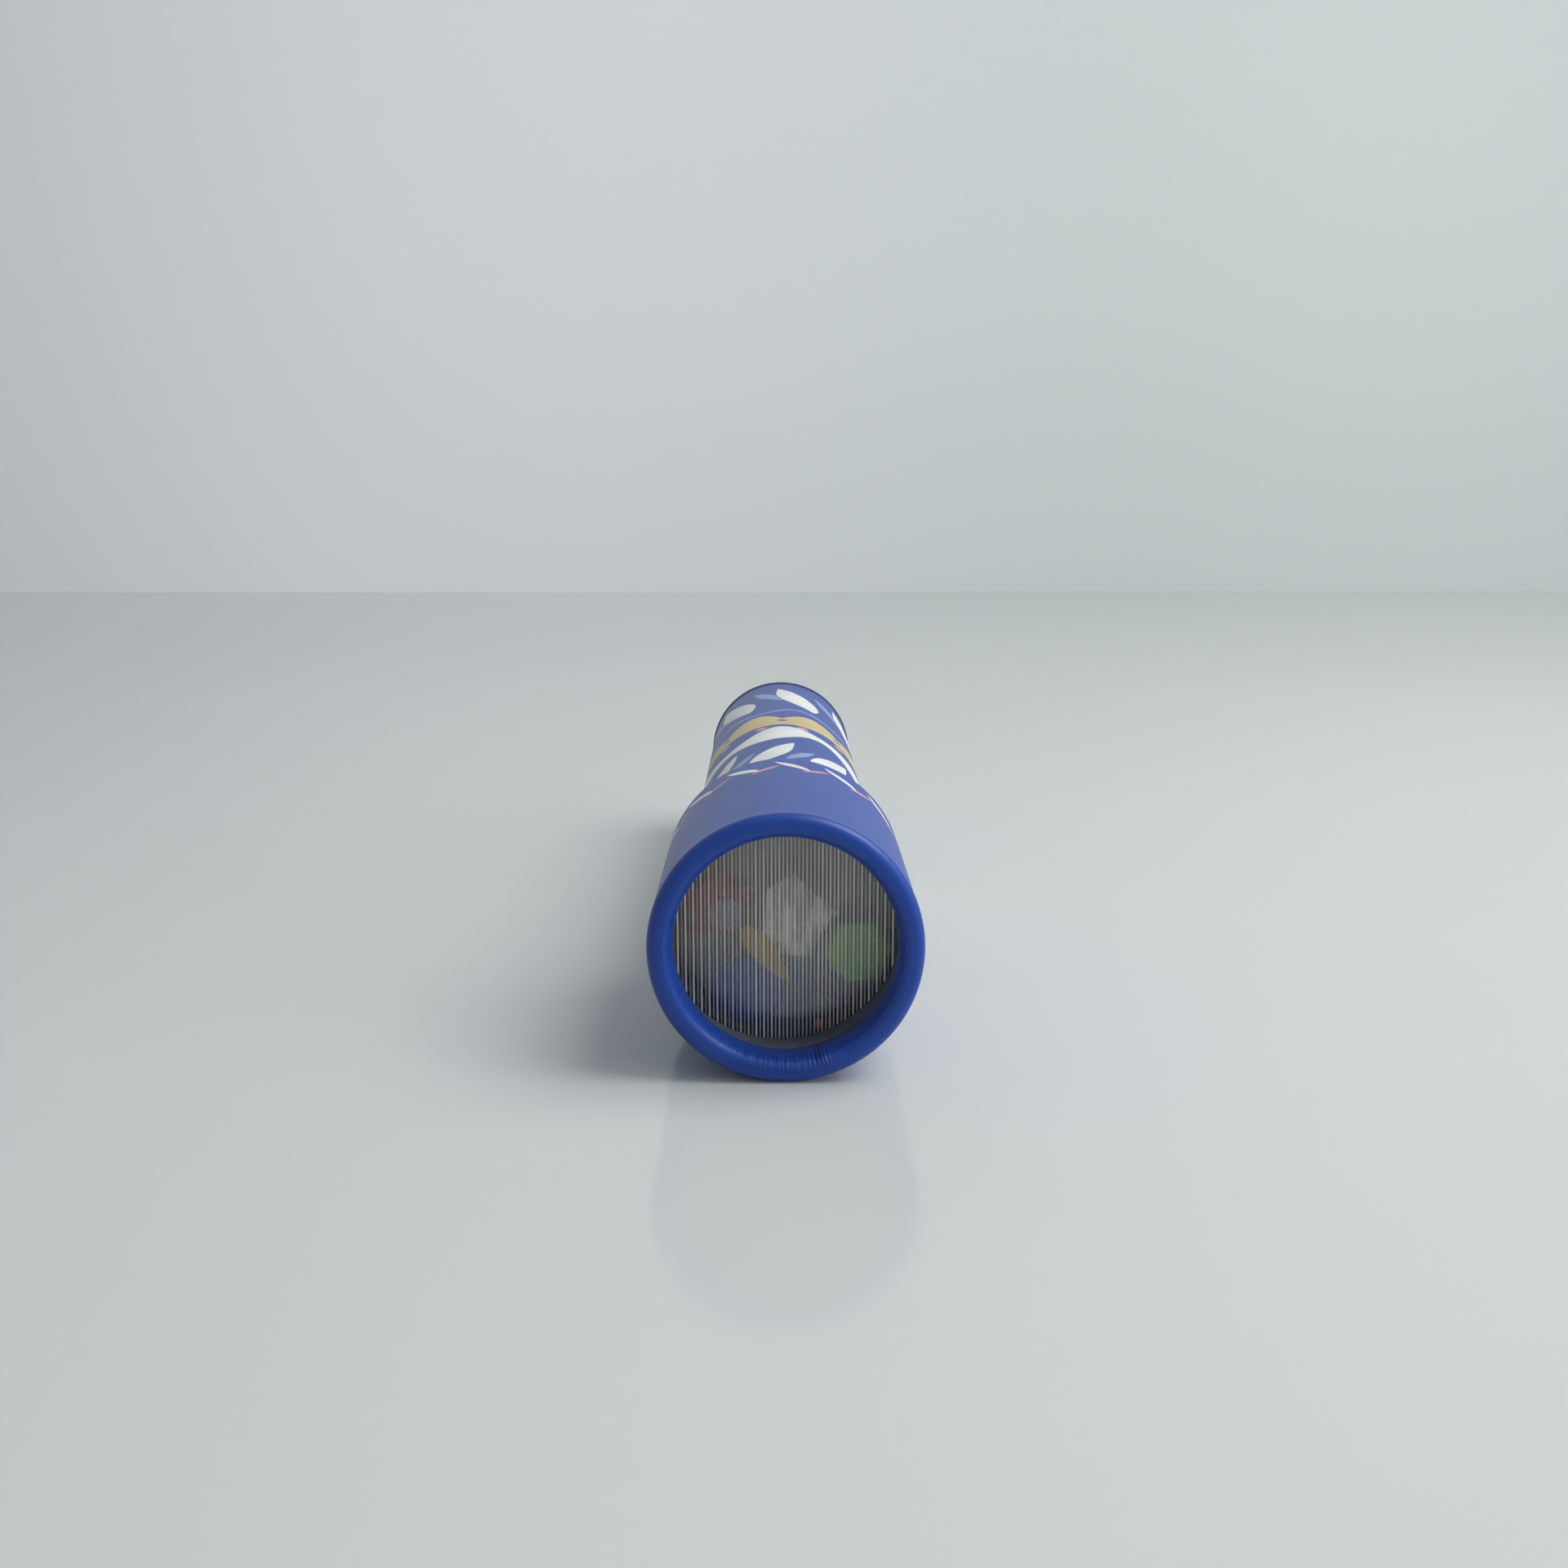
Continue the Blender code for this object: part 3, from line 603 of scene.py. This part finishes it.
def axis_places(look):
    """The angle round the axis, as a share of a turn from the top, the station, and the radius."""
    parts = look.node("ShaderNodeSeparateXYZ", Vector=look.place()).outputs
    turn = look.math("DIVIDE", look.math("ARCTAN2", parts["X"], parts["Z"]), math.tau)
    squares = look.math("ADD", look.math("POWER", parts["X"], 2.0), look.math("POWER", parts["Z"], 2.0))
    return turn, parts["Y"], look.math("SQRT", squares)


def wave(look, turn, count, phase=0.0):
    """A sine round the axis, with this many waves to a turn."""
    return look.math("SINE", look.math("MULTIPLY_ADD", turn, math.tau * count, phase))


def waved(look, turn, middle, reach, count, phase=0.0):
    """A station or a width that swings this far to either side of its middle, going round the axis."""
    return look.math("MULTIPLY_ADD", wave(look, turn, count, phase), reach, middle)


def inside(look, amount):
    """1 where an amount in metres is above nothing, with a soft edge of printed ink inside that line."""
    return look.step(amount, 0.0, 2 * EDGE_BLUR)


def band(look, station, low, high):
    """1 between two stations, either of which may vary round the axis."""
    above = look.math("SUBTRACT", station, low)
    below = look.math("SUBTRACT", high, station)
    return inside(look, look.math("MINIMUM", above, below))


def leaves(look, turn, station, radius, count, centre, length, width, lean, shift=0.0):
    """A ring of almond leaves, this many to a turn. Lean is how many leaf places each one leans over."""
    along = look.math("DIVIDE", look.math("SUBTRACT", station, centre - length / 2), length)
    along = look.node("ShaderNodeClamp", Value=along).outputs["Result"]
    place = look.math("MULTIPLY_ADD", along, lean, look.math("MULTIPLY_ADD", turn, count, shift))
    across = look.math("SUBTRACT", look.math("FRACT", place), 0.5)
    cell = math.tau * radius / count
    away = look.math("MULTIPLY", look.math("ABSOLUTE", across), cell)
    swell = look.math("SINE", look.math("MULTIPLY", look.math("POWER", along, 0.8), math.pi))
    return inside(look, look.math("SUBTRACT", look.math("MULTIPLY", swell, width / 2), away))


def dots(look, turn, station, radius, count, centre, size, shift=0.0):
    """A ring of round dots."""
    cell = math.tau * radius / count
    place = look.math("FRACT", look.math("MULTIPLY_ADD", turn, count, shift))
    across = look.math("MULTIPLY", look.math("SUBTRACT", place, 0.5), cell)
    away = look.math("SUBTRACT", station, centre)
    squares = look.math("ADD", look.math("POWER", across, 2.0), look.math("POWER", away, 2.0))
    return inside(look, look.math("SUBTRACT", size / 2, look.math("SQRT", squares)))


def blue_paper():
    """The barrel's plain blue paper, pleated finely where it turns in, with a ring of leaves at the back."""
    look = Look("blue_paper")
    turn, station, radius = axis_places(look)
    colour = INK_BLUE
    ring_of_leaves = functools.partial(leaves, look, turn, station, BARREL_RADIUS)
    for shape, ink in (
        (ring_of_leaves(15, centre=0.0492, length=0.0085, width=0.0036, lean=0.7), WHITE),
        (ring_of_leaves(15, centre=0.0462, length=0.0060, width=0.0024, lean=-0.6, shift=0.15), PINK),
    ):
        colour = look.mix(shape, colour, ink)
    from_back = look.math("SUBTRACT", BARREL_LENGTH, station)
    colour = rubbed(look, colour, INK_WORN, place=from_back, reach=0.0012)
    # Pleats run across the roll's inner side, mostly along the bottom
    pleat = look.node("ShaderNodeTexNoise", {"noise_dimensions": "1D"}, W=turn, Scale=PLEAT_SCALE, Detail=3.0)
    inner_side = look.step(radius, BEAD_RADIUS - LIP_WIDTH * 0.4, BEAD_RADIUS - LIP_WIDTH * 0.6)
    low = look.step(look.math("ABSOLUTE", turn), 0.40, 0.47, floor=0.12)
    front = look.step(station, HEM_DEPTH, ROLL_INNER_DEPTH / 2)
    share = look.math("MULTIPLY", look.math("MULTIPLY", inner_side, low), front)
    pleats = look.math("MULTIPLY", look.math("MULTIPLY", pleat.outputs["Fac"], share), PLEAT_STRENGTH)
    paper_finish(look, colour, pleats)
    return look


def disc_paper():
    """The eyepiece's plain blue paper, rubbed along its rim and round the peephole."""
    look = Look("disc_paper")
    _, _, radius = axis_places(look)
    from_rim = look.math("SUBTRACT", DISC_RADIUS, radius)
    colour = rubbed(look, INK_BLUE, INK_WORN, place=from_rim, reach=0.0009)
    from_hole = look.math("SUBTRACT", radius, PEEPHOLE_RADIUS)
    colour = rubbed(look, colour, INK_WORN, place=from_hole, reach=PEEPHOLE_CHAMFER)
    paper_finish(look, colour)
    return look


def printed_paper():
    """The long tube's paper: rings of leaves, dots, a scalloped band and wavy lines in four inks on blue."""
    look = Look("printed_paper")
    turn, station, _ = axis_places(look)
    unsteady = look.math("MULTIPLY_ADD", look.noise(scale=85, detail=2, roughness=0.5), 0.0026, -0.0013)
    station = look.math("ADD", station, unsteady)
    ring_of_leaves = functools.partial(leaves, look, turn, station, WRAP_RADIUS)
    ring_of_dots = functools.partial(dots, look, turn, station, WRAP_RADIUS)
    scallops = look.math("MULTIPLY_ADD", look.math("ABSOLUTE", wave(look, turn, 4)), 0.0075, 0.1430)
    ribbon = waved(look, turn, middle=0.117, reach=0.0045, count=3, phase=0.8)
    thick = waved(look, turn, middle=0.0060, reach=0.0030, count=5, phase=2.0)
    line = waved(look, turn, middle=0.157, reach=0.0026, count=6)
    shapes = (
        (ring_of_leaves(7, centre=0.183, length=0.036, width=0.0105, lean=0.55), WHITE),
        (ring_of_leaves(7, centre=0.187, length=0.022, width=0.0050, lean=0.45, shift=0.5), PALE_BLUE),
        (band(look, station, look.math("SUBTRACT", line, 0.0011), look.math("ADD", line, 0.0011)), PALE_BLUE),
        (band(look, station, low=0.1325, high=scallops), GOLD),
        (ring_of_dots(8, centre=0.1392, size=0.0028, shift=0.5), INK_BLUE),
        (ring_of_dots(12, centre=0.1290, size=0.0034), PINK),
        (band(look, station, look.math("SUBTRACT", ribbon, thick), look.math("ADD", ribbon, thick)), WHITE),
        (ring_of_leaves(9, centre=0.092, length=0.026, width=0.0078, lean=-0.7), WHITE),
        (ring_of_leaves(9, centre=0.089, length=0.015, width=0.0036, lean=-0.5, shift=0.45), PALE_BLUE),
        (ring_of_dots(16, centre=0.0735, size=0.0026), PINK),
        (ring_of_dots(16, centre=0.0675, size=0.0020, shift=0.5), PALE_BLUE),
    )
    colour = INK_BLUE
    for shape, ink in shapes:
        colour = look.mix(shape, colour, ink)
    paper_finish(look, colour)
    return look


def board(name, colour, dark):
    """Bare board, with fibres and dark flecks."""
    look = Look(name)
    fibres = look.noise(scale=900, detail=5, roughness=0.65, stretch=(1, 0.3, 1))
    flecks = look.step(look.noise(scale=2200, detail=2, roughness=0.5), 0.62, 0.7)
    mixed = look.mix(fibres, colour, dark)
    look.surface(
        Base_Color=look.mix(look.math("MULTIPLY", flecks, 0.4), mixed, dark),
        Roughness=0.85,
        Normal=look.bump(fibres, distance=0.00006),
    )
    return look


def clear_plastic(name, colour, rough_low, rough_high, clear=1.0):
    """Clear moulded plastic with faint hazy patches and flow lines."""
    look = Look(name)
    haze = look.noise(scale=220, detail=3, roughness=0.5)
    flow = look.noise(scale=160, detail=2, roughness=0.4, stretch=(1, 1, 0.15))
    look.surface(
        Base_Color=colour,
        Roughness=look.step(haze, 0.35, 0.75, rough_low, rough_high),
        Normal=look.bump(flow, distance=0.00003),
    )
    look.shader.inputs["Transmission Weight"].default_value = clear
    look.shader.inputs["IOR"].default_value = CLEAR_IOR
    return look


def flank_plastic_painted_light(name, painted_shade_colour, clear):
    """The hazy plastic of the ribs' flanks, whose colour takes painted shade low down, going darker and
    bluer.
    """
    look = clear_plastic(name, FLANK_COLOUR, 0.3, 0.4, clear)
    height = look.node("ShaderNodeSeparateXYZ", Vector=look.place()).outputs["Z"]
    # Painted shade: below the axis the flanks fade to the zone's darker, bluer colour
    low = look.step(height, -0.001, -0.011)
    look.surface(Base_Color=look.mix(low, FLANK_COLOUR, painted_shade_colour))
    return look


def chip_plastic(name, colour, clear):
    """Tinted plastic that light partly passes."""
    look = Look(name)
    cloud = look.noise(scale=260, detail=3, roughness=0.5)
    paler = tuple(min(1, c * 1.3 + 0.03) for c in colour)
    look.surface(
        Base_Color=look.mix(cloud, colour, paler),
        Roughness=look.step(cloud, 0.3, 0.7, 0.12, 0.28),
        Normal=look.bump(cloud, distance=0.00005),
    )
    look.shader.inputs["Transmission Weight"].default_value = clear
    look.shader.inputs["IOR"].default_value = TINTED_IOR
    return look


def crystal_plastic():
    """The crystal's clear plastic, with cracks through it and bright streaks of painted glints."""
    look = Look("crystal_plastic")
    cells = look.node(
        "ShaderNodeTexVoronoi", {"feature": "DISTANCE_TO_EDGE"}, Vector=look.place(), Scale=420.0
    ).outputs["Distance"]
    cloud = look.noise(scale=260, detail=3, roughness=0.5)
    # Painted glints: bright white streaks mixed into the grey of the crystal
    painted_glints = look.step(look.noise(scale=480, detail=1, roughness=0.4, stretch=(1, 1, 0.2)), 0.4, 0.6)
    body = look.mix(painted_glints, srgb(178, 186, 178), srgb(255, 255, 253))
    look.surface(
        Base_Color=look.mix(look.step(cells, 0.10, 0.04, 0.0, 0.25), body, srgb(252, 254, 250)),
        Roughness=look.step(cloud, 0.3, 0.7, 0.08, 0.2),
        Normal=look.bump(cells, distance=0.0001),
    )
    look.shader.inputs["Transmission Weight"].default_value = 0.05
    look.shader.inputs["IOR"].default_value = TINTED_IOR
    return look


def mirror_face():
    """Silvered glass, a little dusty."""
    look = Look("mirror_face")
    dust = look.step(look.noise(scale=1500, detail=3, roughness=0.6), 0.6, 0.75, 0.02, 0.2)
    look.surface(
        Base_Color=look.mix(look.noise(scale=40), (0.86, 0.88, 0.88), (0.80, 0.84, 0.84)),
        Roughness=dust,
    )
    look.shader.inputs["Metallic"].default_value = 1.0
    return look


def foam():
    """Black foam with fine cells."""
    look = Look("foam")
    cells = look.node("ShaderNodeTexVoronoi", Vector=look.place(), Scale=1800).outputs["Distance"]
    look.surface(
        Base_Color=look.mix(cells, (0.012, 0.012, 0.013), (0.05, 0.05, 0.052)),
        Roughness=0.95,
        Normal=look.bump(cells, distance=0.0002),
    )
    return look


def tape():
    """Pale paper tape, ribbed across."""
    look = Look("tape")
    ribs = look.noise(scale=700, detail=3, roughness=0.6, stretch=(1, 0.1, 1))
    look.surface(
        Base_Color=look.mix(ribs, srgb(206, 190, 150), srgb(226, 214, 180)),
        Roughness=look.step(ribs, 0.3, 0.7, 0.4, 0.6),
        Normal=look.bump(ribs, distance=0.00005),
    )
    return look


def dress_node(name, look):
    """Gives a CAD node's own mesh a finished material."""
    slots = frame["nodes"][name].data.materials
    slots.clear()
    slots.append(look.material)


# Stage, light and camera

CAMERA_PLACE = Vector((-0.00213, -0.38382, 0.11248))
CAMERA_PITCH = math.radians(78.70)
CAMERA_YAW = math.radians(-0.37)
CAMERA_LENS = 36.09
FLOOR_NEAR = -2.2
FLOOR_FAR = 1.1
FLOOR_SIDE = 2.4
BACKDROP_TOP = 2.4
# The world's colours to the left and to the right: what lights things, and what gloss and glass see
WORLD_LIT = ((0.208, 0.228, 0.27), (0.42, 0.435, 0.462))
WORLD_SHOWN = ((0.58, 0.62, 0.64), (0.74, 0.77, 0.79))
WORLD_SIDES = (-0.3, 0.9)
WORLD_STRENGTH_FRONT = 0.72
WORLD_STRENGTH_BEHIND = 1.34


def floor_look():
    """A plain pale, polished surface that keeps the object's shadow and a faint image of it."""
    look = Look("floor")
    look.surface(Base_Color=srgb(206, 210, 208), Roughness=0.1)
    look.shader.inputs["Specular IOR Level"].default_value = 0.3
    return look


def backdrop_look():
    """A plain wall, with painted light: its colour is a little lighter to the left."""
    look = Look("backdrop")
    across = look.node("ShaderNodeSeparateXYZ", Vector=look.place()).outputs["X"]
    # Painted light: the wall's colour lightens towards the left
    side = look.step(across, -0.5, 0.4)
    look.surface(Base_Color=look.mix(side, srgb(252, 255, 254), srgb(218, 223, 222)), Roughness=0.9)
    look.shader.inputs["Specular IOR Level"].default_value = 0.0
    return look


def sheet_of(name, corners, look):
    """A flat piece of the stage."""
    mesh = bpy.data.meshes.new(name)
    mesh.from_pydata(corners, [], [tuple(range(len(corners)))])
    mesh.materials.append(look.material)
    made = bpy.data.objects.new(name, mesh)
    bpy.context.scene.collection.objects.link(made)


def stage():
    """A polished floor, and an upright backdrop that stands past its far edge."""
    side, near, far, top = FLOOR_SIDE, FLOOR_NEAR, FLOOR_FAR, BACKDROP_TOP
    floor = [(-side, near, 0), (side, near, 0), (side, far, 0), (-side, far, 0)]
    upright = [(-side, far, 0), (side, far, 0), (side, far, top), (-side, far, top)]
    sheet_of("floor", floor, floor_look())
    sheet_of("backdrop", upright, backdrop_look())


def lamp(name, place, target, size, power, colour, glossy=True):
    """A round soft lamp that points at its target. Without glossy, no surface shows its reflection."""
    data = bpy.data.lights.new(name, "AREA")
    data.shape = "DISK"
    data.size = size
    data.energy = power
    data.color = colour
    made = bpy.data.objects.new(name, data)
    made.location = place
    made.rotation_euler = (Vector(target) - Vector(place)).to_track_quat("-Z", "Y").to_euler()
    made.visible_glossy = glossy
    bpy.context.scene.collection.objects.link(made)


def side_mix(tree, side, left, right):
    """A colour that goes from left to right with the direction."""
    made = tree.nodes.new("ShaderNodeMix")
    made.data_type = "RGBA"
    tree.links.new(side, made.inputs["Factor"])
    colours = [socket for socket in made.inputs if socket.type == "RGBA"]
    for socket, value in zip(colours, (left, right)):
        if isinstance(value, tuple):
            socket.default_value = (*value, 1)
        else:
            tree.links.new(value, socket)
    return next(socket for socket in made.outputs if socket.type == "RGBA")


def world():
    """Soft light from all sides, stronger from the right and from behind.

    Gloss and clear plastic see it as pale walls.
    """
    made = bpy.data.worlds.new("studio")
    made.use_nodes = True
    tree = made.node_tree
    tree.nodes.clear()
    direction = tree.nodes.new("ShaderNodeTexCoord").outputs["Generated"]
    parts = tree.nodes.new("ShaderNodeSeparateXYZ")
    tree.links.new(direction, parts.inputs[0])
    side = tree.nodes.new("ShaderNodeMapRange")
    side.interpolation_type = "SMOOTHSTEP"
    side.inputs["From Min"].default_value, side.inputs["From Max"].default_value = WORLD_SIDES
    tree.links.new(parts.outputs["X"], side.inputs["Value"])
    rays = tree.nodes.new("ShaderNodeLightPath").outputs
    seen = rays["Is Camera Ray"]
    for kind in ("Is Glossy Ray", "Is Transmission Ray"):
        either = tree.nodes.new("ShaderNodeMath")
        either.operation = "MAXIMUM"
        tree.links.new(seen, either.inputs[0])
        tree.links.new(rays[kind], either.inputs[1])
        seen = either.outputs[0]
    front = tree.nodes.new("ShaderNodeMapRange")
    front.inputs["From Min"].default_value = -1.0
    front.inputs["To Min"].default_value = WORLD_STRENGTH_FRONT
    front.inputs["To Max"].default_value = WORLD_STRENGTH_BEHIND
    tree.links.new(parts.outputs["Y"], front.inputs["Value"])
    lit = side_mix(tree, side.outputs["Result"], *WORLD_LIT)
    shown = side_mix(tree, side.outputs["Result"], *WORLD_SHOWN)
    background = tree.nodes.new("ShaderNodeBackground")
    tree.links.new(side_mix(tree, seen, lit, shown), background.inputs["Color"])
    tree.links.new(front.outputs["Result"], background.inputs["Strength"])
    output = tree.nodes.new("ShaderNodeOutputWorld")
    tree.links.new(background.outputs[0], output.inputs["Surface"])
    bpy.context.scene.world = made


def light_and_camera():
    world()
    lamp(
        "window_side",
        place=(0.8, -0.12, 1.08),
        target=(0, 0, 0),
        size=1.0,
        power=14.4,
        colour=(1.0, 0.99, 0.97),
    )
    lamp(
        "room_side",
        place=(1.35, -0.8, 0.3),
        target=(0, -0.1, 0.02),
        size=1.3,
        power=11.5,
        colour=(1.0, 1.0, 1.0),
        glossy=False,
    )
    data = bpy.data.cameras.new("camera")
    data.sensor_width = 36
    data.lens = CAMERA_LENS
    camera = bpy.data.objects.new("camera", data)
    camera.location = CAMERA_PLACE
    camera.rotation_euler = (CAMERA_PITCH, 0, CAMERA_YAW)
    bpy.context.scene.collection.objects.link(camera)
    bpy.context.scene.camera = camera
    bpy.context.scene.view_settings.view_transform = "Standard"


def dress():
    """Pieces and finishes of the whole object."""
    paper = blue_paper()
    printed = printed_paper()
    grey = board("grey_board", srgb(108, 109, 106), srgb(74, 76, 76))
    brown = board("brown_board", srgb(172, 146, 112), srgb(130, 106, 78))
    window = clear_plastic("window_plastic", (0.99, 0.99, 0.945), 0.10, 0.2)
    # Flank materials for both sides of each zone, with painted light in their clear shares and painted shade
    # low down
    flanks = [
        flank_plastic_painted_light(f"flank_plastic_{zone}_{side}", FLANK_PAINTED_SHADE_COLOURS[zone], clear)
        for zone, (_, *pair) in enumerate(FLANK_PAINTED_LIGHT_ZONES)
        for side, clear in enumerate(pair)
    ]
    cell_back = clear_plastic("cell_back_plastic", (0.87, 0.885, 0.81), 0.04, 0.12, 0.4)
    sheet = clear_plastic("sheet_plastic", (0.95, 0.96, 0.96), 0.02, 0.06)
    barrel_shell(paper, grey)
    tube_wrap(printed, brown)
    eye_plate(disc_paper(), grey)
    window_seat(board("seat_board", srgb(112, 115, 123), srgb(80, 83, 91)))
    ribbed_sheet([window, *flanks])
    cut_crystal(crystal_plastic())
    for look, names in (
        (grey, ("cell_spacer", "cell_back_ring", "stop_ring", "lens_holder")),
        (brown, ("body_tube", "bearing_sleeve")),
        (cell_back, ("cell_back_window",)),
        (sheet, ("tube_window", "eye_lens")),
        (mirror_face(), ("mirror_bottom", "mirror_left", "mirror_right")),
        (foam(), ("mirror_support_front", "mirror_support_rear")),
        (tape(), ("tape_band_front", "tape_band_rear")),
    ):
        for name in names:
            dress_node(name, look)
    for name, colour, clear in CHIPS:
        dress_node(name, chip_plastic(name, colour, clear))


stage()
dress()
light_and_camera()
